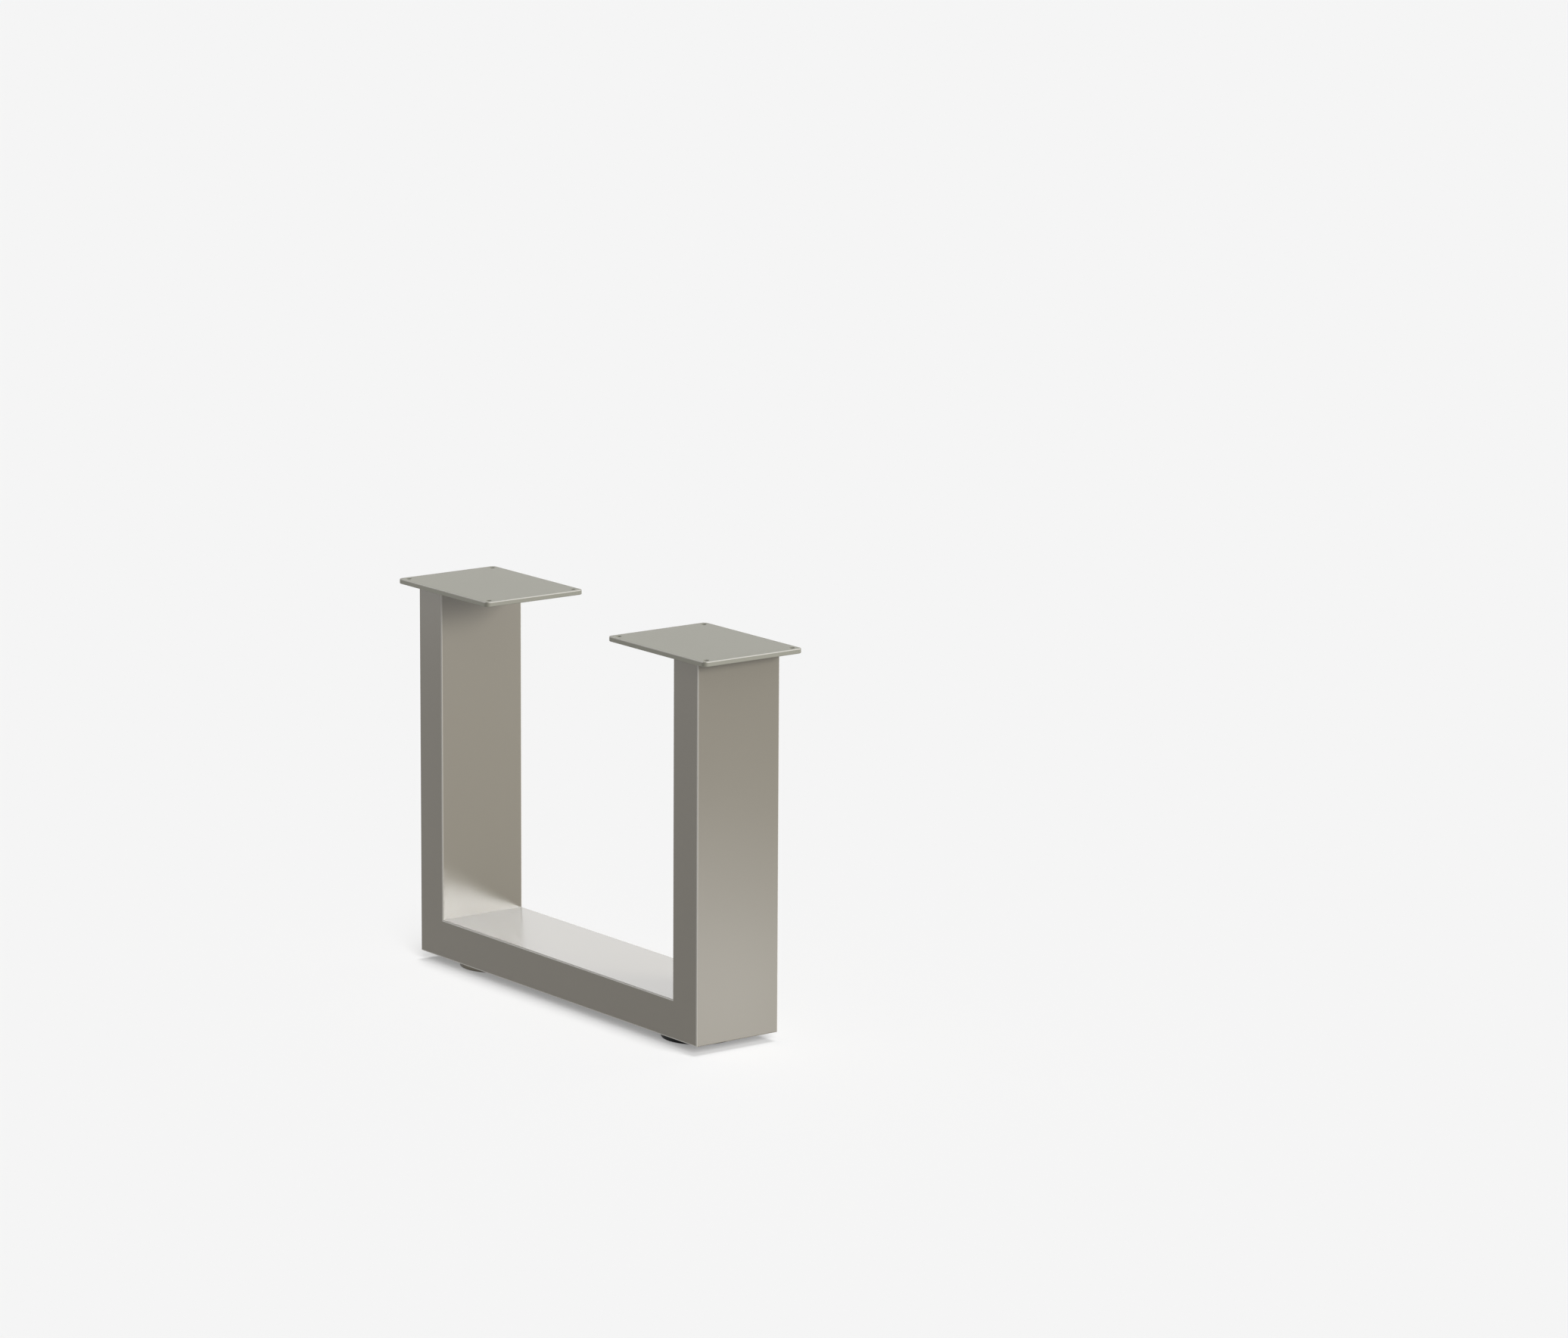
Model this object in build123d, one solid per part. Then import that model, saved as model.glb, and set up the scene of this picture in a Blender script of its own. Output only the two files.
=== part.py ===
from build123d import *
import os

# U-shaped steel table leg: two upright tubes and a bottom bar of the same rectangular tube, mitred and
# welded at the two lower corners, with a screw plate welded on each upright and a round glide foot
# bolted under each end of the bar.
# Millimetres. X runs along the width, Y through the depth, Z up. The origin is on the floor, under the
# middle of the leg.

# Whole leg
total_height = 400.0  # floor to the upper face of the screw plates
frame_width = 480.0  # over the outer faces of the two uprights

# Rectangular tube
tube_depth = 100.0  # wide side, along Y
tube_face = 40.0  # narrow side, the width of the U's line seen from the front
tube_wall = 2.0
tube_outer_radius = 1.5
tube_inner_radius = 0.5
corner_grind_radius = 1.0  # outer mitre corner, rounded where its weld is ground flush

# Screw plates
plate_length = 160.0  # along X
plate_depth = 120.0  # along Y
plate_thickness = 5.0
plate_corner_radius = 5.0
plate_edge_round = 0.8
plate_overhang = 24.0  # how far a plate reaches past the outer face of its upright
plate_hole_diameter = 5.0
plate_hole_inset = 8.0  # hole centre to the nearest plate edges
plate_hole_chamfer = 0.6

# Glide feet
foot_height = 10.0  # floor to the underside of the bottom bar
foot_diameter = 75.0
foot_inset = 64.0  # outer face of the upright to the foot's axis
foot_edge_round = 0.8
pad_thickness = 2.0
pad_stand_out = 0.8  # how far the pad stands below the disc
pad_rim = 3.0  # width of the disc's rim around the pad
pad_edge_chamfer = 0.4
pad_clearance = 0.1  # between the pad's side and the disc's rim

# Countersunk foot screw, M8
screw_diameter = 8.0
screw_length = 20.0  # whole length, head included
screw_head_diameter = 15.6
screw_head_rim = 0.3  # height of the head's cylindrical edge
screw_tip_chamfer = 0.8
screw_socket_size = 5.0  # across the flats of the hexagon socket
screw_socket_depth = 3.0
screw_hole_clearance = 0.3  # between the screw and the disc, all round
screw_thread_clearance = 0.05  # between the screw and the insert's thread, all round
screw_head_clearance = 0.05  # between the head and the pad, and the head and its cone

# Threaded insert in the bar's lower wall, M8
insert_barrel_diameter = 11.0
insert_flange_diameter = 15.0
insert_flange_thickness = 1.0
insert_collar_diameter = 14.5  # collar that setting the insert swells above the wall
insert_collar_height = 3.0
insert_length = 16.0  # from the underside of the wall to the barrel's upper end
insert_hole_clearance = 0.05  # between the barrel and the wall, all round
insert_pocket_clearance = 0.2  # between the flange and its pocket in the disc

# Levels and places that follow from the sizes above
plate_underside = total_height - plate_thickness
disc_underside = pad_stand_out
pad_top = pad_thickness
wall_top = foot_height + tube_wall
side_signs = {"left": -1, "right": 1}


def foot_x(sign):
    """X of a foot's axis."""
    return sign * (frame_width / 2 - foot_inset)


def upright_x(sign):
    """X of the middle of an upright."""
    return sign * (frame_width / 2 - tube_face / 2)


def plate_x(sign):
    """X of the middle of a screw plate, which reaches further inwards than outwards."""
    return sign * (frame_width / 2 + plate_overhang - plate_length / 2)


def column(radius, low, high):
    """Upright cylinder on the Z axis from one level to another."""
    return Pos(0, 0, low) * extrude(Circle(radius), high - low)


def tube_section(width, height):
    """Hollow rectangular section with rounded corners, centred on its plane."""
    outside = RectangleRounded(width, height, tube_outer_radius)
    bore = RectangleRounded(width - 2 * tube_wall, height - 2 * tube_wall, tube_inner_radius)
    return outside - bore


def mitre_plane(sign):
    """Plane of the welded joint between the bar and one upright, facing the upright."""
    return Plane(origin=(sign * frame_width / 2, 0, foot_height), x_dir=(0, 1, 0), z_dir=(sign, 0, 1))


def ground_chip(sign):
    """What grinding takes off one outer mitre corner to leave it round."""
    reach = tube_depth + 2 * corner_grind_radius
    corner = Pos(sign * frame_width / 2, 0, foot_height)
    block = corner * Box(2 * corner_grind_radius, reach, 2 * corner_grind_radius)
    centre = corner * Pos(-sign * corner_grind_radius, 0, corner_grind_radius)
    return block - centre * Rot(90, 0, 0) * Cylinder(corner_grind_radius, reach)


def make_upright(sign):
    """Upright tube, cut at its foot by the mitre and open under its plate; the right one mirrors the left."""
    left = side_signs["left"]
    section = Pos(upright_x(left), 0, foot_height) * tube_section(tube_face, tube_depth)
    tube = extrude(section, plate_underside - foot_height)
    tube = split(tube, bisect_by=mitre_plane(left), keep=Keep.TOP)
    tube = tube - ground_chip(left)
    return tube if sign == left else mirror(tube, about=Plane.YZ)


def make_bar():
    """Bottom bar, mitred at both ends, with a hole for each foot's threaded insert in its lower wall."""
    middle = foot_height + tube_face / 2
    end = Plane(origin=(-frame_width / 2, 0, middle), x_dir=(0, 1, 0), z_dir=(1, 0, 0))
    bar = extrude(end * tube_section(tube_depth, tube_face), frame_width)
    for sign in side_signs.values():
        bar = split(bar, bisect_by=mitre_plane(sign), keep=Keep.BOTTOM)
        bar = bar - ground_chip(sign)
    hole_radius = insert_barrel_diameter / 2 + insert_hole_clearance
    hole_end = foot_height + tube_face / 2
    for sign in side_signs.values():
        bar = bar - Pos(foot_x(sign), 0, 0) * column(hole_radius, 0, hole_end)
    return bar


def make_plate(sign):
    """Screw plate with rounded corners and edges and a screw hole near each corner."""
    plate = extrude(RectangleRounded(plate_length, plate_depth, plate_corner_radius), plate_thickness)
    rims = plate.faces().sort_by(Axis.Z)[0].edges() + plate.faces().sort_by(Axis.Z)[-1].edges()
    plate = fillet(rims, plate_edge_round)
    hole_radius = plate_hole_diameter / 2
    hole = column(hole_radius, 0, plate_thickness)
    mouth = Cone(hole_radius + plate_hole_chamfer, hole_radius, plate_hole_chamfer)
    hole = hole + Pos(0, 0, plate_hole_chamfer / 2) * mouth
    hole = hole + Pos(0, 0, plate_thickness - plate_hole_chamfer / 2) * Rot(180, 0, 0) * mouth
    spacing_x = plate_length - 2 * plate_hole_inset
    spacing_y = plate_depth - 2 * plate_hole_inset
    plate = plate - GridLocations(spacing_x, spacing_y, 2, 2) * hole
    return Pos(plate_x(sign), 0, plate_underside) * plate


def make_disc(sign):
    """Round foot disc: pad recess below, countersunk screw hole, pocket above for the insert's flange."""
    disc = column(foot_diameter / 2, disc_underside, foot_height)
    disc = fillet(disc.edges().filter_by(GeomType.CIRCLE), foot_edge_round)
    disc = disc - column(foot_diameter / 2 - pad_rim, disc_underside, pad_top)
    hole_radius = screw_diameter / 2 + screw_hole_clearance
    disc = disc - column(hole_radius, pad_top, foot_height)
    disc = disc - head_shape(screw_head_clearance, pad_top)
    pocket_radius = insert_flange_diameter / 2 + insert_pocket_clearance
    disc = disc - column(pocket_radius, foot_height - insert_flange_thickness, foot_height)
    return Pos(foot_x(sign), 0, 0) * disc


def head_shape(clearance, low):
    """Countersunk screw head, or the seat it lies in when a clearance is given, standing on a level."""
    head_radius = screw_head_diameter / 2 + clearance
    neck_radius = screw_diameter / 2
    rim = screw_head_rim + clearance
    cone_height = head_radius - neck_radius
    cone = Cone(head_radius, neck_radius, cone_height)
    return column(head_radius, low, low + rim) + Pos(0, 0, low + rim + cone_height / 2) * cone


def make_pad(sign):
    """Rubber pad glued in the disc's recess; the leg stands on it."""
    pad = column(foot_diameter / 2 - pad_rim - pad_clearance, 0, pad_top)
    pad = chamfer(pad.edges().group_by(Axis.Z)[0], pad_edge_chamfer)
    return Pos(foot_x(sign), 0, 0) * pad


def make_screw(sign):
    """Countersunk screw with a hexagon socket, from the disc up into the threaded insert."""
    head_base = pad_top + screw_head_clearance
    shank = column(screw_diameter / 2 - screw_thread_clearance, head_base, head_base + screw_length)
    shank = chamfer(shank.edges().group_by(Axis.Z)[-1], screw_tip_chamfer)
    screw = head_shape(0, head_base) + shank
    socket_radius = screw_socket_size / 2
    socket = RegularPolygon(socket_radius, 6, major_radius=False)
    screw = screw - Pos(0, 0, head_base) * extrude(socket, screw_socket_depth)
    return Pos(foot_x(sign), 0, 0) * screw


def make_insert(sign):
    """Threaded insert: flange under the wall, barrel through it and the set collar above it."""
    insert = column(insert_flange_diameter / 2, foot_height - insert_flange_thickness, foot_height)
    insert = insert + column(insert_barrel_diameter / 2, foot_height, foot_height + insert_length)
    insert = insert + column(insert_collar_diameter / 2, wall_top, wall_top + insert_collar_height)
    insert = insert - column(screw_diameter / 2, 0, foot_height + insert_length)
    return Pos(foot_x(sign), 0, 0) * insert


def write_part(shape, node):
    """One STEP file for each piece, named after it."""
    shape.label = node
    export_step(shape, f"parts/{node}.step")


side_pieces = {
    "upright": make_upright,
    "mounting_plate": make_plate,
    "foot_disc": make_disc,
    "foot_pad": make_pad,
    "foot_screw": make_screw,
    "threaded_insert": make_insert,
}

os.makedirs("parts", exist_ok=True)
write_part(make_bar(), "bottom_bar")
for side, sign in side_signs.items():
    for piece, make_piece in side_pieces.items():
        write_part(make_piece(sign), f"{side}_{piece}")
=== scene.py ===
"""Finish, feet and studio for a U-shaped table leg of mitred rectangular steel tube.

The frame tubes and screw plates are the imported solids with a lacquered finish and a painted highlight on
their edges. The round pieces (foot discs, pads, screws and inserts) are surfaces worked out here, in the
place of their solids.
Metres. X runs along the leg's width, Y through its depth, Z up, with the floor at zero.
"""

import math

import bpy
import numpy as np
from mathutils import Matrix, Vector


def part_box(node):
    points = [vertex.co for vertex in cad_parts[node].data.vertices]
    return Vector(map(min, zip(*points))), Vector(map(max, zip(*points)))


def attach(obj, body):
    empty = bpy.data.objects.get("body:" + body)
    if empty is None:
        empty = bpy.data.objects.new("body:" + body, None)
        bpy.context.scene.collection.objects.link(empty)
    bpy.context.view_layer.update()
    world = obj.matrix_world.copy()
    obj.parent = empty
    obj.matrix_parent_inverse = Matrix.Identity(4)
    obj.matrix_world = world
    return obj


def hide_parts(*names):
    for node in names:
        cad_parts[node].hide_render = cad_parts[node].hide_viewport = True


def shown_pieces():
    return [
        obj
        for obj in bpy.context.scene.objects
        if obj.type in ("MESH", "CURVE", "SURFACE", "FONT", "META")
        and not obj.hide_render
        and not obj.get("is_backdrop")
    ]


bl_info = {
    "name": "U-Shaped Table Leg",
    "version": (1, 0, 0),
    "blender": (4, 5, 0),
    "location": "View3D > Sidebar > Table Leg",
    "description": "Finish, glide feet and studio for a U-shaped steel table leg",
    "category": "Object",
}

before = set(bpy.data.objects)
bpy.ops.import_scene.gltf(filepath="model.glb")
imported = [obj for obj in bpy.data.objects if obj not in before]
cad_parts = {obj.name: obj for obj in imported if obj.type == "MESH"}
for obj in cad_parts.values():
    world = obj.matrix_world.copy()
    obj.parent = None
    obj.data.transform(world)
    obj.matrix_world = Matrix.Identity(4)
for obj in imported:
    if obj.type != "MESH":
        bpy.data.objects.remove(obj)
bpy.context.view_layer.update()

TURN = 2 * math.pi
BODY = "root"
SIDES = ("left", "right")
TUBE_NODES = ("bottom_bar", "left_upright", "right_upright")
PLATE_NODES = ("left_mounting_plate", "right_mounting_plate")
LOW_PARTS = ("bottom_bar", "_disc", "_pad")  # endings of the names of the pieces that shade the floor

# Steps of the meshes: round a disc, a pad, a thread and the floor, in a quarter arc, in the swollen side of
# a set insert, and in one turn of a thread
DISC_STEPS = 192
PAD_STEPS = 128
THREAD_STEPS = 96
FLOOR_STEPS = 64
ARC_STEPS = 6
COLLAR_STEPS = 12
PITCH_STEPS = 14
INNER_RING = 0.5  # innermost ring of a flat face, as a share of that face's radius
TIP_RING = 0.4  # innermost ring at a screw's tip, as a share of the thread's radius
SHARP_ANGLE = 32  # degrees between faces above which their edge isn't smoothed

# Thread form, as shares of its pitch
THREAD_DEPTH = 0.613
THREAD_FLAT = 0.16

# Lacquer
CLOUD_SCALE = 9.0  # clouds for each metre
CLOUD_DETAIL = 3.0
FLAKE_HEIGHT = 0.15  # height of a flake beside that of the ripple
RELIEF_DEPTH = 0.00005  # metres of relief for a height of 1 in the texture
EDGE_STRENGTH = 4.0  # how soon the painted edge highlight reaches its full colour

# Camera and lamps
SENSOR_WIDTH = 36.0  # millimetres
CLIP_START = 0.1
CLIP_END = 200.0
SUN_DISTANCE = 3  # where a distant lamp's object stands, which its light doesn't depend on

LEG_MIDDLE = (0, 0, 0.2)
RIGHT_FOOT = (0.24, -0.05, 0.01)

# Distant lamps: name, azimuth from +X towards +Y, elevation and width in degrees, the setting of the power,
# the collection that it lights and the one that shades it
SUNS = (
    ("floor_low_light", -24, 24, 30, "floor_low_power", "floor_only", "low_parts"),
    ("floor_high_light", 20, 72, 30, "floor_high_power", "floor_only", "low_parts"),
    ("top_light", 60, 70, 120, "top_power", "leg", "leg"),
    ("front_light", -98, 15, 110, "front_power", "leg", "leg"),
    ("right_light", 37, 17, 16, "right_power", "leg", "leg"),
    ("right_front_light", 28, 14, 18, "right_front_power", "leg", "leg"),
    ("left_light", 143, 14, 40, "left_power", "leg", "leg"),
)

# Softboxes: name, place, the point that it faces and diameter in metres, and then as above
SOFTBOXES = (
    ("near_left_softbox", (-2.0, -1.5, 0.5), LEG_MIDDLE, 1.5,
     "near_left_power", "leg", "leg"),
    ("near_back_softbox", (1.3, 0.98, 0.5), LEG_MIDDLE, 0.6,
     "near_back_power", "left_upright_and_bar", "leg"),
    ("low_right_softbox", (0.92, 0.49, -0.17), RIGHT_FOOT, 0.3,
     "low_right_power", "right_upright_only", "leg"),
)


def node_height(node):
    """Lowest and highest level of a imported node."""
    low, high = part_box(node)
    return low.z, high.z


def node_radius(node):
    """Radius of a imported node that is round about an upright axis."""
    low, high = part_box(node)
    return (high.y - low.y) / 2


def node_axis(node):
    """X and Y of the upright axis of a packed round node."""
    low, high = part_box(node)
    return (low.x + high.x) / 2, (low.y + high.y) / 2


# User settings


class LegFinish(bpy.types.PropertyGroup):
    """Colours and surface qualities of each finish."""

    tube_colour: bpy.props.FloatVectorProperty(
        name="Tube Colour", description="Satin nickel-grey lacquer of the tubes",
        subtype="COLOR", size=3, min=0, max=1, default=(0.129, 0.117, 0.093))
    tube_roughness: bpy.props.FloatProperty(
        name="Tube Roughness", description="Blur of the reflections in the tubes",
        min=0, max=1, default=0.24)
    plate_colour: bpy.props.FloatVectorProperty(
        name="Plate Colour", description="Matt nickel-grey lacquer of the screw plates",
        subtype="COLOR", size=3, min=0, max=1, default=(0.15, 0.147, 0.117))
    plate_roughness: bpy.props.FloatProperty(
        name="Plate Roughness", description="Blur of the reflections in the plates",
        min=0, max=1, default=0.6)
    # The paler band on the tubes' rounded edges, set by the next two settings, is a painted highlight
    tube_edge: bpy.props.FloatProperty(
        name="Tube Edge", description="Width of the paler lacquer on each side of a tube's rounded edge",
        unit="LENGTH", default=0.0015)
    tube_highlight_colour: bpy.props.FloatVectorProperty(
        name="Tube Edge Colour", description="Paler lacquer on the tubes' edges",
        subtype="COLOR", size=3, min=0, max=1, default=(0.3, 0.287, 0.26))
    # The paler band at the plates' upper edge, set by the next two settings, is a painted highlight
    plate_edge: bpy.props.FloatProperty(
        name="Plate Edge", description="Width of the paler lacquer at the plates' upper edge",
        unit="LENGTH", default=0.0009)
    plate_highlight_colour: bpy.props.FloatVectorProperty(
        name="Plate Edge Colour", description="Paler lacquer on the plates' edge",
        subtype="COLOR", size=3, min=0, max=1, default=(0.32, 0.31, 0.28))
    steel_disc_colour: bpy.props.FloatVectorProperty(
        name="Steel Disc Colour", description="Satin coat of the turned steel foot",
        subtype="COLOR", size=3, min=0, max=1, default=(0.19, 0.176, 0.145))
    black_disc_colour: bpy.props.FloatVectorProperty(
        name="Black Disc Colour", description="Moulded plastic of the black foot",
        subtype="COLOR", size=3, min=0, max=1, default=(0.005, 0.005, 0.0055))
    pad_colour: bpy.props.FloatVectorProperty(
        name="Pad Colour", description="Rubber of the pads",
        subtype="COLOR", size=3, min=0, max=1, default=(0.02, 0.02, 0.02))
    zinc_colour: bpy.props.FloatVectorProperty(
        name="Zinc Colour", description="Zinc plate of the screws and inserts",
        subtype="COLOR", size=3, min=0, max=1, default=(0.62, 0.63, 0.62))


class LegFeet(bpy.types.PropertyGroup):
    """Sizes of the turned and threaded pieces that their solids' boxes don't give."""

    edge_round: bpy.props.FloatProperty(
        name="Disc Edge Round", description="Radius of the disc's upper and lower edge",
        unit="LENGTH", default=0.0008)
    rim_width: bpy.props.FloatProperty(
        name="Disc Rim", description="Width of the disc's rim around the pad",
        unit="LENGTH", default=0.003)
    pad_edge: bpy.props.FloatProperty(
        name="Pad Edge", description="Rounding of the pad's lower edge",
        unit="LENGTH", default=0.0004)
    screw_diameter: bpy.props.FloatProperty(
        name="Screw Diameter", description="Nominal diameter of the screw's thread",
        unit="LENGTH", default=0.008)
    thread_pitch: bpy.props.FloatProperty(
        name="Thread Pitch", description="Rise of the thread in one turn",
        unit="LENGTH", default=0.00125)
    thread_clearance: bpy.props.FloatProperty(
        name="Thread Clearance", description="Between the screw's thread and the insert's",
        unit="LENGTH", default=0.00005)
    head_rim: bpy.props.FloatProperty(
        name="Head Rim", description="Height of the screw head's cylindrical edge",
        unit="LENGTH", default=0.0003)
    head_clearance: bpy.props.FloatProperty(
        name="Head Clearance", description="Between the screw's head and its seat",
        unit="LENGTH", default=0.00005)
    hole_clearance: bpy.props.FloatProperty(
        name="Hole Clearance", description="Between the screw and the disc",
        unit="LENGTH", default=0.0003)
    socket_size: bpy.props.FloatProperty(
        name="Socket Size", description="Hexagon socket, across its flats",
        unit="LENGTH", default=0.005)
    socket_depth: bpy.props.FloatProperty(
        name="Socket Depth", description="Depth of the hexagon socket",
        unit="LENGTH", default=0.003)
    tip_chamfer: bpy.props.FloatProperty(
        name="Tip Chamfer", description="Chamfer at the screw's tip",
        unit="LENGTH", default=0.0008)
    pocket_clearance: bpy.props.FloatProperty(
        name="Pocket Clearance", description="Between the insert's flange and the disc",
        unit="LENGTH", default=0.0002)
    flange_thickness: bpy.props.FloatProperty(
        name="Flange Thickness", description="Thickness of the insert's flange",
        unit="LENGTH", default=0.001)
    barrel_diameter: bpy.props.FloatProperty(
        name="Barrel Diameter", description="Outside of the insert's barrel",
        unit="LENGTH", default=0.011)
    collar_diameter: bpy.props.FloatProperty(
        name="Collar Diameter", description="Outside of the collar that setting the insert swells",
        unit="LENGTH", default=0.0145)
    collar_height: bpy.props.FloatProperty(
        name="Collar Height", description="Height of the set collar",
        unit="LENGTH", default=0.003)
    wall_thickness: bpy.props.FloatProperty(
        name="Tube Wall", description="Thickness of the wall that the insert is set in",
        unit="LENGTH", default=0.002)


class LegStage(bpy.types.PropertyGroup):
    """Floor, light and camera."""

    floor_colour: bpy.props.FloatVectorProperty(
        name="Floor Colour", description="Plain pale floor",
        subtype="COLOR", size=3, min=0, max=1, default=(0.9, 0.9, 0.9))
    floor_radius: bpy.props.FloatProperty(
        name="Floor Radius", description="How far the floor reaches",
        unit="LENGTH", default=60.0)
    backdrop_colour: bpy.props.FloatVectorProperty(
        name="Backdrop Colour", description="Pale backdrop that camera and metal see",
        subtype="COLOR", size=3, min=0, max=1, default=(0.913, 0.913, 0.913))
    shadow_depth: bpy.props.FloatProperty(
        name="Shadow Depth", description="Share of its own shading that the floor shows",
        subtype="FACTOR", min=0, max=1, default=0.72)
    fill_level: bpy.props.FloatProperty(
        name="Fill Level", description="Even light from all round",
        min=0, default=0.12)
    floor_low_power: bpy.props.FloatProperty(
        name="Low Floor Light", description="Light on the floor that reaches under the bar from the right",
        min=0, default=3.8)
    floor_high_power: bpy.props.FloatProperty(
        name="High Floor Light", description="Light on the floor from nearly overhead",
        min=0, default=1.33)
    top_power: bpy.props.FloatProperty(
        name="Top Light", description="Wide soft light from above and behind",
        min=0, default=2.2)
    front_power: bpy.props.FloatProperty(
        name="Front Light", description="Wide soft light from in front",
        min=0, default=0.7)
    right_power: bpy.props.FloatProperty(
        name="Right Light", description="Strong soft light low at the right, behind the leg",
        min=0, default=2.32)
    right_front_power: bpy.props.FloatProperty(
        name="Right Front Light", description="Its neighbour, a little lower and nearer the front",
        min=0, default=1.8)
    left_power: bpy.props.FloatProperty(
        name="Left Light", description="Soft light low at the left, behind the leg",
        min=0, default=0.5)
    near_left_power: bpy.props.FloatProperty(
        name="Near Left Softbox", description="Watts of the softbox that makes the fronts paler at the top",
        min=0, default=12.6)
    near_back_power: bpy.props.FloatProperty(
        name="Near Back Softbox", description="Watts of the softbox for the left upright's inner face",
        min=0, default=9.4)
    low_right_power: bpy.props.FloatProperty(
        name="Low Right Softbox", description="Watts of the softbox for the foot of the right face",
        min=0, default=1.45)
    camera_place: bpy.props.FloatVectorProperty(
        name="Camera Place", description="Where the camera stands",
        subtype="TRANSLATION", unit="LENGTH", size=3, default=(5.13004, -3.67688, 1.64769))
    camera_azimuth: bpy.props.FloatProperty(
        name="Camera Azimuth", description="Turn of the camera about the upright axis",
        subtype="ANGLE", default=math.radians(52.651))
    camera_elevation: bpy.props.FloatProperty(
        name="Camera Elevation", description="How far the camera looks down",
        subtype="ANGLE", default=math.radians(11.682))
    camera_roll: bpy.props.FloatProperty(
        name="Camera Roll", description="Turn of the camera about its own line of sight",
        subtype="ANGLE", default=math.radians(0.346))
    lens: bpy.props.FloatProperty(
        name="Lens", description="Focal length in millimetres on a 36 mm wide sensor",
        min=1, default=147.538)


# Surfaces


def polyline(*points):
    """Profile through (radius, height) points, one row for each."""
    return np.array(points, float)


def arc(centre, radius, start, end):
    """Quarter or other part of a circle in a profile: centre + radius (cos a, sin a), a from start to end."""
    angle = np.radians(np.linspace(start, end, ARC_STEPS + 1))
    return np.stack([centre[0] + radius * np.cos(angle), centre[1] + radius * np.sin(angle)], axis=1)


def turned(profile, around):
    """Profile carried once round the upright axis: (r cos a, r sin a, z) for each profile point (r, z)."""
    angle = np.arange(around) * TURN / around
    radius = np.repeat(profile[:, :1], around, axis=1)
    height = np.repeat(profile[:, 1:], around, axis=1)
    return carried_round(radius, height, angle)


def carried_round(radius, height, angle):
    """Points (r cos a, r sin a, z) of a grid whose radius and height are given at each step and angle."""
    angle = np.broadcast_to(angle, radius.shape)
    return np.stack([radius * np.cos(angle), radius * np.sin(angle), height], axis=-1)


def thread_radius(angle, height, pitch, crest, root):
    """Radius of a right-hand thread: a flat-topped triangle wave of (height / pitch - angle / turn)."""
    phase = (height / pitch - angle / TURN) % 1.0
    wave = 1 - np.abs(2 * phase - 1)
    flank = np.clip((wave - THREAD_FLAT) / (1 - 2 * THREAD_FLAT), 0, 1)
    return root + (crest - root) * flank


def eased(value, start, end):
    """Smooth step from 0 at start to 1 at end: t t (3 - 2 t)."""
    t = np.clip((value - start) / (end - start), 0, 1)
    return t * t * (3 - 2 * t)


def grid_faces(steps, around, closed):
    """Four-sided faces between neighbouring rows and columns of a grid that closes round the axis."""
    index = np.arange(steps * around).reshape(steps, around)
    low = index if closed else index[:-1]
    high = np.roll(index, -1, axis=0) if closed else index[1:]
    return np.stack([low, np.roll(low, -1, axis=1), np.roll(high, -1, axis=1), high], axis=-1).reshape(-1, 4)


def pole_faces(ring, pole):
    """Triangles that close a ring of vertices on one vertex at the axis."""
    return np.stack([ring, np.roll(ring, -1), np.full_like(ring, pole)], axis=1)


def six_volumes(points, triangles):
    """Six times the enclosed volume, the sum of a . (b x c): positive when the faces point outwards."""
    a, b, c = (points[triangles[:, corner]] for corner in range(3))
    return np.einsum("ij,ij->i", a, np.cross(b, c)).sum()


def add_piece(name, grid, closed, axis, node, material):
    """Mesh object of a grid turned about an upright axis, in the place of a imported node.

    A closed profile is a ring. An open one starts and ends on the axis, and each end closes on one vertex.
    """
    steps, around = grid.shape[:2]
    points = grid.reshape(-1, 3)
    quads = grid_faces(steps, around, closed)
    caps = np.empty((0, 3), int)
    if not closed:
        ring = np.arange(around)
        last = (steps - 1) * around
        caps = np.vstack([pole_faces(ring[::-1], len(points)), pole_faces(last + ring, len(points) + 1)])
        points = np.vstack([points, [0, 0, grid[0, 0, 2]], [0, 0, grid[-1, 0, 2]]])
    if six_volumes(points, np.vstack([quads[:, [0, 1, 2]], quads[:, [0, 2, 3]], caps])) < 0:
        quads, caps = quads[:, ::-1], caps[:, ::-1]
    points = points + [axis[0], axis[1], 0]
    mesh = bpy.data.meshes.new(name)
    mesh.from_pydata(points.tolist(), [], quads.tolist() + caps.tolist())
    mesh.validate()
    mesh.shade_smooth()
    mesh.set_sharp_from_angle(angle=math.radians(SHARP_ANGLE))
    mesh.materials.append(material)
    piece = bpy.data.objects.new(name, mesh)
    bpy.context.scene.collection.objects.link(piece)
    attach(piece, BODY)
    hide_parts(node)


# Shader parts


def new_group(name, inputs, outputs):
    """Empty shader node group with named sockets; returns the group and its input and output nodes."""
    group = bpy.data.node_groups.new(name, "ShaderNodeTree")
    for label, kind, value in inputs:
        socket = group.interface.new_socket(name=label, in_out="INPUT", socket_type=kind)
        if value is not None:
            socket.default_value = value
    for label, kind in outputs:
        group.interface.new_socket(name=label, in_out="OUTPUT", socket_type=kind)
    return group, group.nodes.new("NodeGroupInput"), group.nodes.new("NodeGroupOutput")


def feed(tree, socket, value):
    """Gives a socket a number, or links another socket to it."""
    if isinstance(value, (int, float)):
        socket.default_value = value
    else:
        tree.links.new(value, socket)


def noise(tree, position, scale, detail=2.0):
    """Noise texture on a position; returns its factor."""
    node = tree.nodes.new("ShaderNodeTexNoise")
    feed(tree, node.inputs["Vector"], position)
    feed(tree, node.inputs["Scale"], scale)
    feed(tree, node.inputs["Detail"], detail)
    return node.outputs["Fac"]


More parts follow.
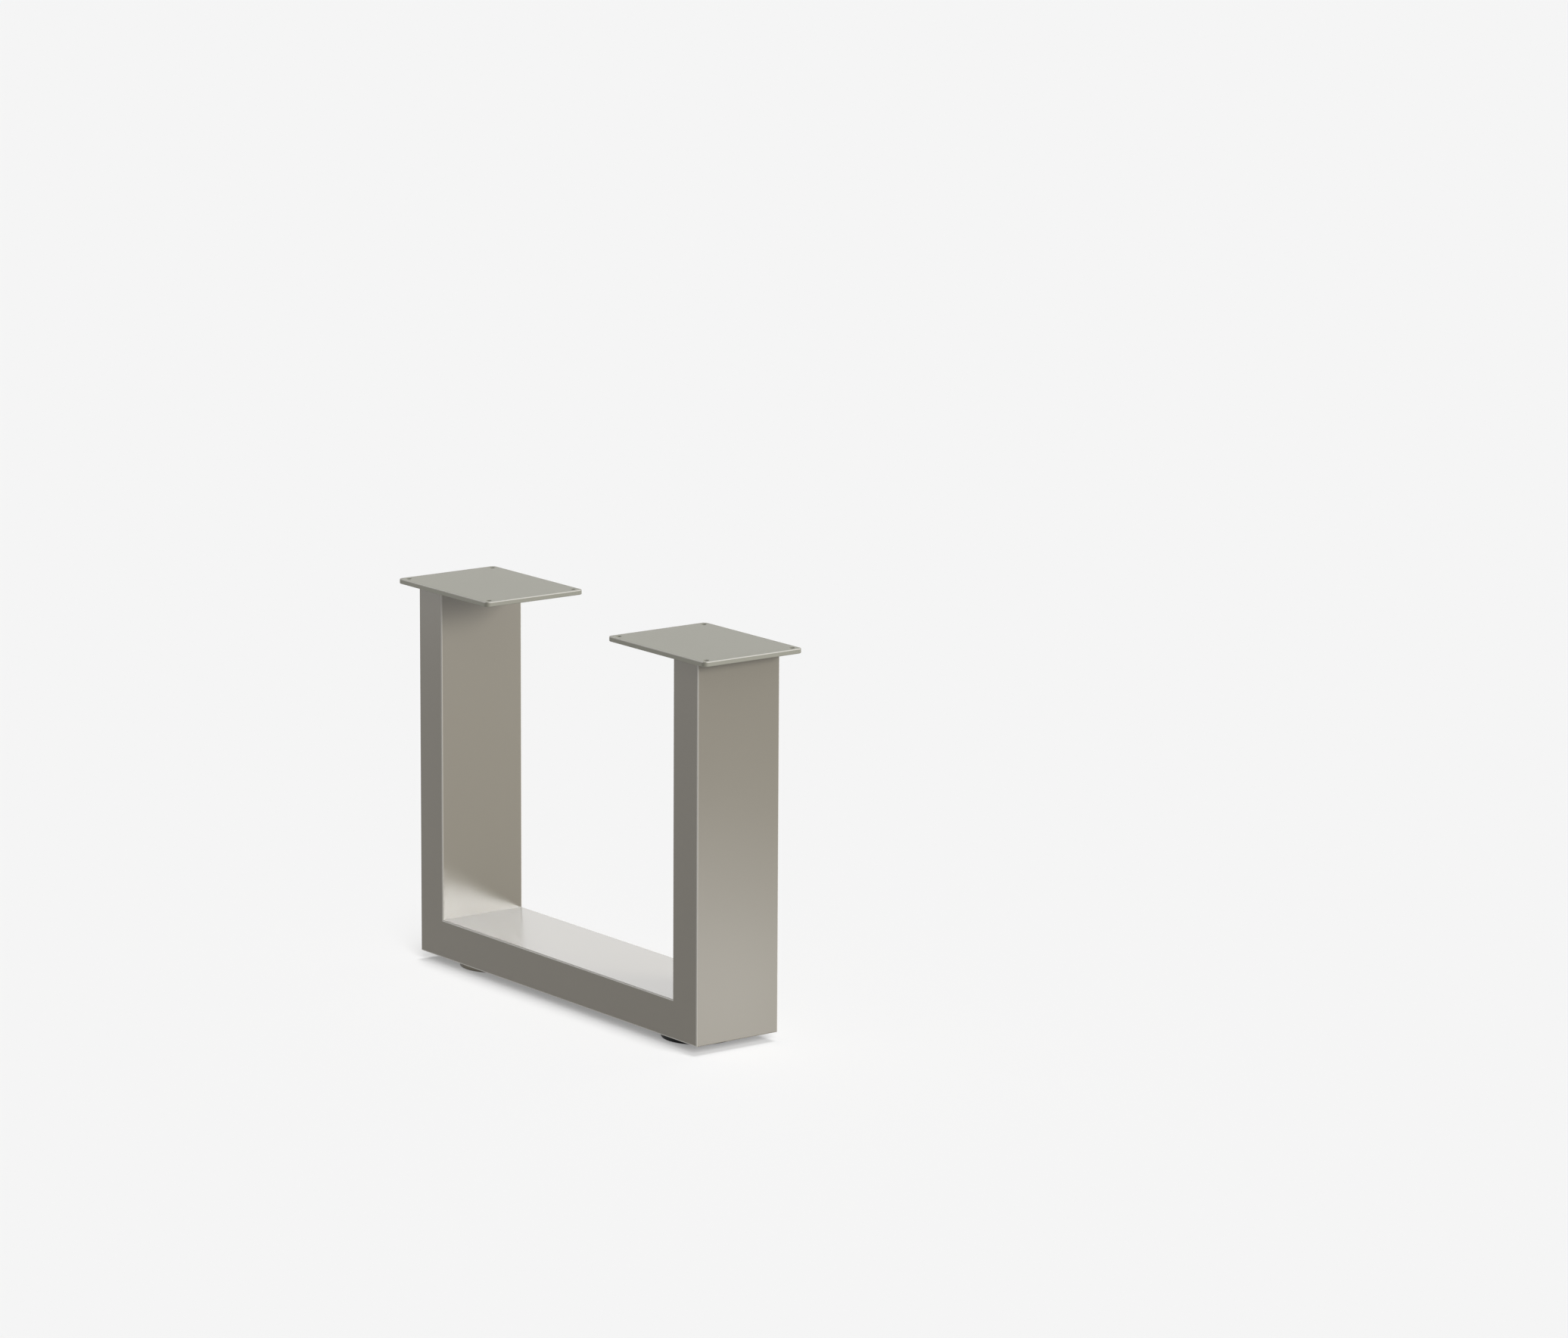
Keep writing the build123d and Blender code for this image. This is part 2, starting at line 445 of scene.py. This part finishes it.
def math_node(tree, operation, *values):
    """Math node on sockets or numbers; returns its value."""
    node = tree.nodes.new("ShaderNodeMath")
    node.operation = operation
    for socket, value in zip(node.inputs, values):
        feed(tree, socket, value)
    return node.outputs["Value"]


def lacquer_texture():
    """Group: soft clouds, fine metal flake and lacquer ripple, as colour, roughness and height."""
    group, start, end = new_group(
        "Lacquer Texture",
        [("Position", "NodeSocketVector", None),
         ("Colour", "NodeSocketColor", (0.2, 0.2, 0.2, 1)),
         ("Cloud Contrast", "NodeSocketFloat", 0.03),
         ("Flake Contrast", "NodeSocketFloat", 0.05),
         ("Roughness", "NodeSocketFloat", 0.3),
         ("Roughness Change", "NodeSocketFloat", 0.03),
         ("Ripple Scale", "NodeSocketFloat", 300.0),
         ("Grain Scale", "NodeSocketFloat", 2500.0)],
        [("Colour", "NodeSocketColor"), ("Roughness", "NodeSocketFloat"), ("Height", "NodeSocketFloat")])
    position = start.outputs["Position"]
    clouds = noise(group, position, CLOUD_SCALE, CLOUD_DETAIL)
    flake_node = group.nodes.new("ShaderNodeTexVoronoi")
    group.links.new(position, flake_node.inputs["Vector"])
    group.links.new(start.outputs["Grain Scale"], flake_node.inputs["Scale"])
    separate = group.nodes.new("ShaderNodeSeparateColor")
    group.links.new(flake_node.outputs["Color"], separate.inputs["Color"])
    flake = separate.outputs["Red"]
    ripple = noise(group, position, start.outputs["Ripple Scale"])
    cloud_change = math_node(group, "SUBTRACT", clouds, 0.5)
    flake_change = math_node(group, "SUBTRACT", flake, 0.5)
    cloud_gain = math_node(group, "MULTIPLY", cloud_change, start.outputs["Cloud Contrast"])
    flake_gain = math_node(group, "MULTIPLY", flake_change, start.outputs["Flake Contrast"])
    gain = math_node(group, "ADD", math_node(group, "ADD", cloud_gain, flake_gain), 1.0)
    group.links.new(scaled_colour(group, start.outputs["Colour"], gain), end.inputs["Colour"])
    spread = math_node(group, "ADD", cloud_change, math_node(group, "MULTIPLY", flake_change, 0.5))
    rough = math_node(group, "MULTIPLY_ADD", spread, start.outputs["Roughness Change"],
                      start.outputs["Roughness"])
    group.links.new(rough, end.inputs["Roughness"])
    height = math_node(group, "MULTIPLY_ADD", flake, FLAKE_HEIGHT, ripple)
    group.links.new(height, end.inputs["Height"])
    return group


def clamped(tree, value):
    """A value held between 0 and 1."""
    return math_node(tree, "MINIMUM", math_node(tree, "MAXIMUM", value, 0.0), 1.0)


def scaled_colour(tree, colour, gain):
    """A colour times a gain."""
    scale = tree.nodes.new("ShaderNodeVectorMath")
    scale.operation = "SCALE"
    tree.links.new(colour, scale.inputs[0])
    tree.links.new(gain, scale.inputs["Scale"])
    return scale.outputs["Vector"]


def edge_highlight_group():
    """Group: a painted highlight, a paler colour where two faces meet.

    Its share is EDGE_STRENGTH (1 - a / width) (1 - b / width), held between 0 and 1, for the depths a and b.
    """
    group, start, end = new_group(
        "Worn Edge",
        [("Colour", "NodeSocketColor", (0.2, 0.2, 0.2, 1)),
         ("First Depth", "NodeSocketFloat", 1.0),
         ("Second Depth", "NodeSocketFloat", 1.0),
         ("Width", "NodeSocketFloat", 0.0015),
         ("Edge Colour", "NodeSocketColor", (0.3, 0.3, 0.3, 1))],
        [("Colour", "NodeSocketColor")])
    near = []
    for label in ("First Depth", "Second Depth"):
        share = math_node(group, "DIVIDE", start.outputs[label], start.outputs["Width"])
        near.append(clamped(group, math_node(group, "SUBTRACT", 1.0, share)))
    both = math_node(group, "MULTIPLY", *near)
    mask = clamped(group, math_node(group, "MULTIPLY", both, EDGE_STRENGTH))
    mix = group.nodes.new("ShaderNodeMixRGB")
    group.links.new(mask, mix.inputs["Fac"])
    group.links.new(start.outputs["Colour"], mix.inputs["Color1"])
    group.links.new(start.outputs["Edge Colour"], mix.inputs["Color2"])
    group.links.new(mix.outputs["Color"], end.inputs["Colour"])
    return group


def frame_depths(tree, axes):
    """Depth under the front or back face, and under the outer or inner outline of the U."""
    low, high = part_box("left_upright")
    bar_low, bar_high = node_height("bottom_bar")
    across = math_node(tree, "ABSOLUTE", axes["X"])
    along = math_node(tree, "ABSOLUTE", axes["Y"])
    outer = math_node(tree, "MINIMUM", math_node(tree, "SUBTRACT", -low.x, across),
                      math_node(tree, "SUBTRACT", axes["Z"], bar_low))
    inner = math_node(tree, "MAXIMUM", math_node(tree, "ADD", across, high.x),
                      math_node(tree, "SUBTRACT", bar_high, axes["Z"]))
    outline = math_node(tree, "MINIMUM", outer, math_node(tree, "ABSOLUTE", inner))
    return math_node(tree, "SUBTRACT", high.y, along), outline


def plate_depths(tree, axes):
    """Depth under the plates' tops, and inside their rectangular outline."""
    low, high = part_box("right_mounting_plate")
    across = math_node(tree, "ABSOLUTE", axes["X"])
    along = math_node(tree, "ABSOLUTE", axes["Y"])
    ends = math_node(tree, "MINIMUM", math_node(tree, "SUBTRACT", high.x, across),
                     math_node(tree, "SUBTRACT", across, low.x))
    outline = math_node(tree, "MINIMUM", ends, math_node(tree, "SUBTRACT", high.y, along))
    return math_node(tree, "SUBTRACT", high.z, axes["Z"]), outline


def paint_edge_highlights(material, depths, width, colour):
    """Puts the painted edge highlight between a material's texture and its colour; depths gives the two
    depths.
    """
    tree = material.node_tree
    shader = tree.nodes["Principled BSDF"]
    place = tree.nodes.new("ShaderNodeTexCoord")
    axes = tree.nodes.new("ShaderNodeSeparateXYZ")
    tree.links.new(place.outputs["Object"], axes.inputs["Vector"])
    edge = tree.nodes.new("ShaderNodeGroup")
    edge.node_tree = shared_group("Worn Edge", edge_highlight_group)
    edge.inputs["Width"].default_value = width
    edge.inputs["Edge Colour"].default_value = (*colour, 1)
    tree.links.new(shader.inputs["Base Color"].links[0].from_socket, edge.inputs["Colour"])
    for label, depth in zip(("First Depth", "Second Depth"), depths(tree, axes.outputs)):
        tree.links.new(depth, edge.inputs[label])
    tree.links.new(edge.outputs["Colour"], shader.inputs["Base Color"])


def textured_material(name, colour, roughness, bump, values=None, **constants):
    """Principled material whose colour, roughness and bump come from the lacquer texture.

    values are the texture's own settings, and constants are set on the shader's sockets.
    """
    material = bpy.data.materials.new(name)
    material.use_nodes = True
    material.diffuse_color = (*colour, 1)
    tree = material.node_tree
    shader = tree.nodes["Principled BSDF"]
    place = tree.nodes.new("ShaderNodeTexCoord")
    texture = tree.nodes.new("ShaderNodeGroup")
    texture.node_tree = shared_group("Lacquer Texture", lacquer_texture)
    texture.inputs["Colour"].default_value = (*colour, 1)
    texture.inputs["Roughness"].default_value = roughness
    for label, value in (values or {}).items():
        texture.inputs[label].default_value = value
    tree.links.new(place.outputs["Object"], texture.inputs["Position"])
    tree.links.new(texture.outputs["Colour"], shader.inputs["Base Color"])
    tree.links.new(texture.outputs["Roughness"], shader.inputs["Roughness"])
    relief = tree.nodes.new("ShaderNodeBump")
    relief.inputs["Strength"].default_value = bump
    relief.inputs["Distance"].default_value = RELIEF_DEPTH
    tree.links.new(texture.outputs["Height"], relief.inputs["Height"])
    tree.links.new(relief.outputs["Normal"], shader.inputs["Normal"])
    for label, value in constants.items():
        shader.inputs[label.replace("_", " ")].default_value = value
    return material


def shared_group(name, make):
    """The node group of that name, made the first time that it is asked for."""
    return bpy.data.node_groups.get(name) or make()


def dress(nodes, material):
    """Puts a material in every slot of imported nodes."""
    for node in nodes:
        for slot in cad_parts[node].material_slots:
            slot.material = material


# Pieces


class DressTubes(bpy.types.Operator):
    """Satin nickel-grey lacquer on the bottom bar and the two uprights, with a painted highlight along their
    rounded edges
    """

    bl_idname = "table_leg.dress_tubes"
    bl_label = "Finish Tubes"

    def execute(self, context):
        finish = context.scene.leg_finish
        material = textured_material(
            "satin_nickel_lacquer", finish.tube_colour, finish.tube_roughness, bump=0.012,
            values={"Flake Contrast": 0.008, "Roughness Change": 0.004}, IOR=1.52)
        # paler band along the rounded edges: a painted highlight
        paint_edge_highlights(material, frame_depths, finish.tube_edge, finish.tube_highlight_colour)
        dress(TUBE_NODES, material)
        return {"FINISHED"}


class DressPlates(bpy.types.Operator):
    """Matt nickel-grey lacquer on the two screw plates, with a painted highlight along their upper edge"""

    bl_idname = "table_leg.dress_plates"
    bl_label = "Finish Plates"

    def execute(self, context):
        finish = context.scene.leg_finish
        material = textured_material(
            "matt_nickel_lacquer", finish.plate_colour, finish.plate_roughness, bump=0.08, IOR=1.5)
        # paler band along the upper edge: a painted highlight
        paint_edge_highlights(material, plate_depths, finish.plate_edge, finish.plate_highlight_colour)
        dress(PLATE_NODES, material)
        return {"FINISHED"}


class BuildFootDiscs(bpy.types.Operator):
    """Round foot discs with rounded edges: turned steel at the left, moulded black plastic at the right"""

    bl_idname = "table_leg.build_foot_discs"
    bl_label = "Build Foot Discs"

    def execute(self, context):
        finish = context.scene.leg_finish
        steel = textured_material(
            "satin_turned_steel", finish.steel_disc_colour, roughness=0.22, bump=0.06, Metallic=1.0)
        black = textured_material(
            "moulded_black_plastic", finish.black_disc_colour, roughness=0.4, bump=0.3,
            values={"Ripple Scale": 900.0}, Specular_IOR_Level=0.15)
        for side, material, slot in zip(SIDES, (steel, black), ("steel_disc", "black_disc")):
            node = f"{side}_foot_disc"
            grid = turned(disc_profile(context.scene.leg_feet, side), DISC_STEPS)
            add_piece(f"{side}_disc", grid, True, node_axis(node), node, material)
        return {"FINISHED"}


def disc_profile(feet, side):
    """Ring section of a disc: rim, pad recess, countersunk seat, hole, flange pocket and top, going round."""
    low, high = node_height(f"{side}_foot_disc")
    outer = node_radius(f"{side}_foot_disc")
    pad_top = node_height(f"{side}_foot_pad")[1]
    head = node_radius(f"{side}_foot_screw") + feet.head_clearance
    hole = feet.screw_diameter / 2 + feet.hole_clearance
    seat = pad_top + feet.head_rim + feet.head_clearance
    pocket = node_radius(f"{side}_threaded_insert") + feet.pocket_clearance
    floor = high - feet.flange_thickness
    recess = outer - feet.rim_width
    edge = feet.edge_round
    return np.vstack([
        polyline((recess, pad_top), (recess, low)),
        arc((outer - edge, low + edge), edge, -90, 0),
        arc((outer - edge, high - edge), edge, 0, 90),
        polyline((pocket, high), (pocket, floor), (hole, floor), (hole, seat + head - hole)),
        polyline((head, seat), (head, pad_top)),
    ])


class BuildFootPads(bpy.types.Operator):
    """Rubber pads glued under the discs"""

    bl_idname = "table_leg.build_foot_pads"
    bl_label = "Build Foot Pads"

    def execute(self, context):
        scene = context.scene
        rubber = textured_material(
            "black_rubber", scene.leg_finish.pad_colour, roughness=0.75, bump=0.5,
            values={"Ripple Scale": 700.0})
        for side in SIDES:
            node = f"{side}_foot_pad"
            low, high = node_height(node)
            outer = node_radius(node)
            edge = scene.leg_feet.pad_edge
            profile = np.vstack([
                polyline((outer * INNER_RING, low)),
                arc((outer - edge, low + edge), edge, -90, 0),
                polyline((outer, high), (outer * INNER_RING, high)),
            ])
            grid = turned(profile, PAD_STEPS)
            add_piece(f"{side}_pad", grid, False, node_axis(node), node, rubber)
        return {"FINISHED"}


def zinc_plate(finish):
    """Bright zinc plate, made the first time that it is asked for."""
    return bpy.data.materials.get("bright_zinc_plate") or textured_material(
        "bright_zinc_plate", finish.zinc_colour, roughness=0.32, bump=0.1,
        values={"Cloud Contrast": 0.12}, Metallic=1.0)


class BuildFootScrews(bpy.types.Operator):
    """Countersunk screws with a hexagon socket and a rolled thread"""

    bl_idname = "table_leg.build_foot_screws"
    bl_label = "Build Foot Screws"

    def execute(self, context):
        scene = context.scene
        material = zinc_plate(scene.leg_finish)
        for side in SIDES:
            node = f"{side}_foot_screw"
            grid = screw_grid(scene.leg_feet, side)
            add_piece(f"{side}_screw", grid, False, node_axis(node), node, material)
        return {"FINISHED"}


def ring_of(radius):
    """One row of a thread's grid, all at one radius."""
    return np.full(THREAD_STEPS, radius)


def screw_grid(feet, side):
    """Socket, head, cone and shank as one grid.

    In the socket the radius is that of a hexagon, flat / cos(a mod 60 - 30 degrees). On the shank it is that
    of the thread, which fades out towards the head and the tip.
    """
    low, high = node_height(f"{side}_foot_screw")
    head = node_radius(f"{side}_foot_screw")
    crest = feet.screw_diameter / 2 - feet.thread_clearance
    root = crest - thread_depth(feet)
    pitch = feet.thread_pitch
    angle = np.arange(THREAD_STEPS) * TURN / THREAD_STEPS
    hexagon = feet.socket_size / 2 / np.cos(angle % (TURN / 6) - TURN / 12)
    socket_floor = low + feet.socket_depth
    cone_top = low + feet.head_rim + head - crest
    tip = high - feet.tip_chamfer
    shank = np.arange(cone_top + pitch, tip, pitch / PITCH_STEPS)
    depth = eased(shank, shank[0], shank[0] + pitch) * eased(-shank, -tip, -tip + pitch)
    thread = thread_radius(angle[None, :], shank[:, None], pitch, crest, root)
    thread = crest + (thread - crest) * depth[:, None]
    radius = np.vstack([
        hexagon * INNER_RING, hexagon, hexagon, ring_of(head), ring_of(head), ring_of(crest),
        thread,
        ring_of(crest), ring_of(crest - feet.tip_chamfer), ring_of(crest * TIP_RING),
    ])
    level = np.hstack([
        socket_floor, socket_floor, low, low, low + feet.head_rim, cone_top,
        shank,
        tip, high, high,
    ])
    return carried_round(radius, np.repeat(level[:, None], THREAD_STEPS, axis=1), angle)


def thread_depth(feet):
    """Depth of a standard metric thread in metres, from its pitch."""
    return THREAD_DEPTH * feet.thread_pitch


class BuildThreadedInserts(bpy.types.Operator):
    """Threaded inserts set in the bar's lower wall"""

    bl_idname = "table_leg.build_threaded_inserts"
    bl_label = "Build Threaded Inserts"

    def execute(self, context):
        scene = context.scene
        material = zinc_plate(scene.leg_finish)
        for side in SIDES:
            node = f"{side}_threaded_insert"
            grid = insert_grid(scene.leg_feet, side)
            add_piece(f"{side}_insert", grid, True, node_axis(node), node, material)
        return {"FINISHED"}


def insert_grid(feet, side):
    """Flange, barrel and set collar outside, and the thread inside, as one closed grid.

    The collar stands out from the barrel by swell times the root of sin(pi t), for t from 0 to 1 up its side.
    """
    low, high = node_height(f"{side}_threaded_insert")
    flange = node_radius(f"{side}_threaded_insert")
    barrel = feet.barrel_diameter / 2
    swell = (feet.collar_diameter - feet.barrel_diameter) / 2
    seat = low + feet.flange_thickness
    wall_top = seat + feet.wall_thickness
    pitch = feet.thread_pitch
    angle = np.arange(THREAD_STEPS) * TURN / THREAD_STEPS
    share = np.linspace(0, 1, COLLAR_STEPS + 1)
    bulge = barrel + swell * np.sin(share * math.pi) ** 0.5
    collar = np.stack([bulge, wall_top + feet.collar_height * share], axis=1)
    outside = np.vstack([
        polyline((flange, low), (flange, seat), (barrel, seat), (barrel, wall_top)),
        collar[1:-1],
        polyline((barrel, wall_top + feet.collar_height), (barrel, high)),
    ])
    crest = feet.screw_diameter / 2
    root = crest - thread_depth(feet)
    inside = np.arange(high, low, -pitch / PITCH_STEPS)
    depth = eased(-inside, -high, -high + pitch) * eased(inside, low, low + pitch)
    thread = thread_radius(angle[None, :], inside[:, None], pitch, crest, root)
    thread = crest + (thread - crest) * depth[:, None]
    radius = np.vstack([np.repeat(outside[:, :1], THREAD_STEPS, axis=1), thread, ring_of(crest)])
    level = np.hstack([outside[:, 1], inside, low])
    return carried_round(radius, np.repeat(level[:, None], THREAD_STEPS, axis=1), angle)


# Stage


def direction(azimuth, elevation):
    """Unit vector from the leg towards a lamp: azimuth in degrees from +X towards +Y, and elevation."""
    turn, lift = math.radians(azimuth), math.radians(elevation)
    return Vector((math.cos(turn) * math.cos(lift), math.sin(turn) * math.cos(lift), math.sin(lift)))


def add_sun(name, azimuth, elevation, width, power, receivers, blockers):
    """Round soft lamp, far away, of a width in degrees, that lights receivers; blockers shade it."""
    data = bpy.data.lights.new(name, "SUN")
    data.angle = math.radians(width)
    data.energy = power
    lamp = bpy.data.objects.new(name, data)
    towards = direction(azimuth, elevation)
    lamp.rotation_mode = "QUATERNION"
    lamp.rotation_quaternion = (-towards).to_track_quat("-Z", "Y")
    lamp.location = towards * SUN_DISTANCE
    finish_lamp(lamp, receivers, blockers)


def add_softbox(name, place, target, size, power, receivers, blockers):
    """Round softbox near the leg, of a diameter in metres, aimed at a point; the floor doesn't shade it."""
    data = bpy.data.lights.new(name, "AREA")
    data.shape = "DISK"
    data.size = size
    data.energy = power
    lamp = bpy.data.objects.new(name, data)
    lamp.rotation_mode = "QUATERNION"
    lamp.rotation_quaternion = (Vector(target) - Vector(place)).to_track_quat("-Z", "Y")
    lamp.location = place
    finish_lamp(lamp, receivers, blockers)


def finish_lamp(lamp, receivers, blockers):
    """Links a lamp to the scene, hides it from the camera and says what it lights and what shades it."""
    bpy.context.scene.collection.objects.link(lamp)
    lamp.visible_camera = False
    lamp.light_linking.receiver_collection = receivers
    lamp.light_linking.blocker_collection = blockers


def collection_of(name, pieces):
    """Collection of pieces, for what a lamp lights or what casts its shadows."""
    collection = bpy.data.collections.new(name)
    for piece in pieces:
        collection.objects.link(piece)
    return collection


def seen_directly(tree):
    """1 for what the camera, metal and glass see, 0 for what lights a matt surface."""
    path = tree.nodes.new("ShaderNodeLightPath")
    seen = math_node(tree, "MAXIMUM", path.outputs["Is Camera Ray"], path.outputs["Is Glossy Ray"])
    return math_node(tree, "MAXIMUM", seen, path.outputs["Is Transmission Ray"])


def build_floor(stage):
    """Round floor: one flat face about the origin, with its rim at radius (cos a, sin a)."""
    angle = np.arange(FLOOR_STEPS) * TURN / FLOOR_STEPS
    rim = np.stack([np.cos(angle), np.sin(angle), np.zeros(FLOOR_STEPS)], axis=1) * stage.floor_radius
    mesh = bpy.data.meshes.new("floor")
    mesh.from_pydata(rim.tolist(), [], [list(range(FLOOR_STEPS))])
    floor = bpy.data.objects.new("floor", mesh)
    bpy.context.scene.collection.objects.link(floor)
    material = bpy.data.materials.new("pale_floor")
    material.use_nodes = True
    tree = material.node_tree
    shader = tree.nodes["Principled BSDF"]
    shader.inputs["Base Color"].default_value = (*stage.floor_colour, 1)
    shader.inputs["Roughness"].default_value = 1.0
    shader.inputs["Specular IOR Level"].default_value = 0.0
    backdrop = tree.nodes.new("ShaderNodeEmission")
    backdrop.inputs["Color"].default_value = (*stage.backdrop_colour, 1)
    share = math_node(tree, "MULTIPLY", seen_directly(tree), 1 - stage.shadow_depth)
    mix = tree.nodes.new("ShaderNodeMixShader")
    tree.links.new(share, mix.inputs["Fac"])
    tree.links.new(shader.outputs["BSDF"], mix.inputs[1])
    tree.links.new(backdrop.outputs["Emission"], mix.inputs[2])
    tree.links.new(mix.outputs["Shader"], tree.nodes["Material Output"].inputs["Surface"])
    material.cycles.emission_sampling = "NONE"
    mesh.materials.append(material)
    floor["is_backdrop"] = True
    return floor


def build_world(stage):
    """Even fill for the light, and the pale backdrop colour for what camera, metal and glass see."""
    world = bpy.data.worlds.new("studio")
    world.use_nodes = True
    tree = world.node_tree
    tree.nodes.clear()
    fill = tree.nodes.new("ShaderNodeBackground")
    fill.inputs["Color"].default_value = (1, 1, 1, 1)
    fill.inputs["Strength"].default_value = stage.fill_level
    backdrop = tree.nodes.new("ShaderNodeBackground")
    backdrop.inputs["Color"].default_value = (*stage.backdrop_colour, 1)
    backdrop.inputs["Strength"].default_value = 1.0
    mix = tree.nodes.new("ShaderNodeMixShader")
    tree.links.new(seen_directly(tree), mix.inputs["Fac"])
    tree.links.new(fill.outputs["Background"], mix.inputs[1])
    tree.links.new(backdrop.outputs["Background"], mix.inputs[2])
    output = tree.nodes.new("ShaderNodeOutputWorld")
    tree.links.new(mix.outputs["Shader"], output.inputs["Surface"])
    bpy.context.scene.world = world


def build_camera(stage):
    """Camera from its azimuth, elevation and roll: right, up and back vectors are its matrix's columns."""
    azimuth, elevation, roll = stage.camera_azimuth, stage.camera_elevation, stage.camera_roll
    back = Vector((math.sin(azimuth) * math.cos(elevation), -math.cos(azimuth) * math.cos(elevation),
                   math.sin(elevation)))
    right = (-back).cross(Vector((0, 0, 1))).normalized()
    up = right.cross(-back)
    level = Matrix((right, up, back)).transposed()
    data = bpy.data.cameras.new("camera")
    data.lens = stage.lens
    data.sensor_width = SENSOR_WIDTH
    data.sensor_fit = "HORIZONTAL"
    data.clip_start = CLIP_START
    data.clip_end = CLIP_END
    camera = bpy.data.objects.new("camera", data)
    turned_camera = level @ Matrix.Rotation(roll, 3, "Z")
    camera.matrix_world = Matrix.Translation(stage.camera_place) @ turned_camera.to_4x4()
    bpy.context.scene.collection.objects.link(camera)
    bpy.context.scene.camera = camera


class BuildStage(bpy.types.Operator):
    """Pale floor and backdrop, soft studio light and the camera"""

    bl_idname = "table_leg.build_stage"
    bl_label = "Build Stage"

    def execute(self, context):
        scene = context.scene
        stage = scene.leg_stage
        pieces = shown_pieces()
        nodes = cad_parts
        members = {
            "leg": pieces,
            "low_parts": [piece for piece in pieces if piece.name.endswith(LOW_PARTS)],
            "right_upright_only": [nodes["right_upright"]],
            "left_upright_and_bar": [nodes["left_upright"], nodes["bottom_bar"]],
            "floor_only": [build_floor(stage)],
        }
        groups = {name: collection_of(name, objects) for name, objects in members.items()}
        build_world(stage)
        for name, azimuth, elevation, width, power, lit, shading in SUNS:
            add_sun(name, azimuth, elevation, width, getattr(stage, power), groups[lit], groups[shading])
        for name, place, target, size, power, lit, shading in SOFTBOXES:
            add_softbox(name, place, target, size, getattr(stage, power), groups[lit], groups[shading])
        build_camera(stage)
        scene.view_settings.view_transform = "Standard"
        return {"FINISHED"}


class LegPanel(bpy.types.Panel):
    """Settings and steps of the table leg"""

    bl_idname = "VIEW3D_PT_table_leg"
    bl_label = "Table Leg"
    bl_space_type = "VIEW_3D"
    bl_region_type = "UI"
    bl_category = "Table Leg"

    def draw(self, context):
        for step in STEPS:
            self.layout.operator(step.bl_idname)
        for settings in (context.scene.leg_finish, context.scene.leg_feet, context.scene.leg_stage):
            box = self.layout.box()
            for name in settings.__annotations__:
                box.prop(settings, name)


SETTINGS = {"leg_finish": LegFinish, "leg_feet": LegFeet, "leg_stage": LegStage}
STEPS = (DressTubes, DressPlates, BuildFootDiscs, BuildFootPads, BuildFootScrews, BuildThreadedInserts,
         BuildStage)


def register():
    """Adds the settings, the steps and the panel."""
    for name, settings in SETTINGS.items():
        bpy.utils.register_class(settings)
        setattr(bpy.types.Scene, name, bpy.props.PointerProperty(type=settings))
    for step in STEPS:
        bpy.utils.register_class(step)
    bpy.utils.register_class(LegPanel)


def unregister():
    """Takes away what register added."""
    bpy.utils.unregister_class(LegPanel)
    for step in reversed(STEPS):
        bpy.utils.unregister_class(step)
    for name, settings in reversed(SETTINGS.items()):
        delattr(bpy.types.Scene, name)
        bpy.utils.unregister_class(settings)


def main():
    """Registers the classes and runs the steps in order."""
    register()
    bpy.ops.table_leg.dress_tubes()
    bpy.ops.table_leg.dress_plates()
    bpy.ops.table_leg.build_foot_discs()
    bpy.ops.table_leg.build_foot_pads()
    bpy.ops.table_leg.build_foot_screws()
    bpy.ops.table_leg.build_threaded_inserts()
    bpy.ops.table_leg.build_stage()


if __name__ == "__main__":
    main()
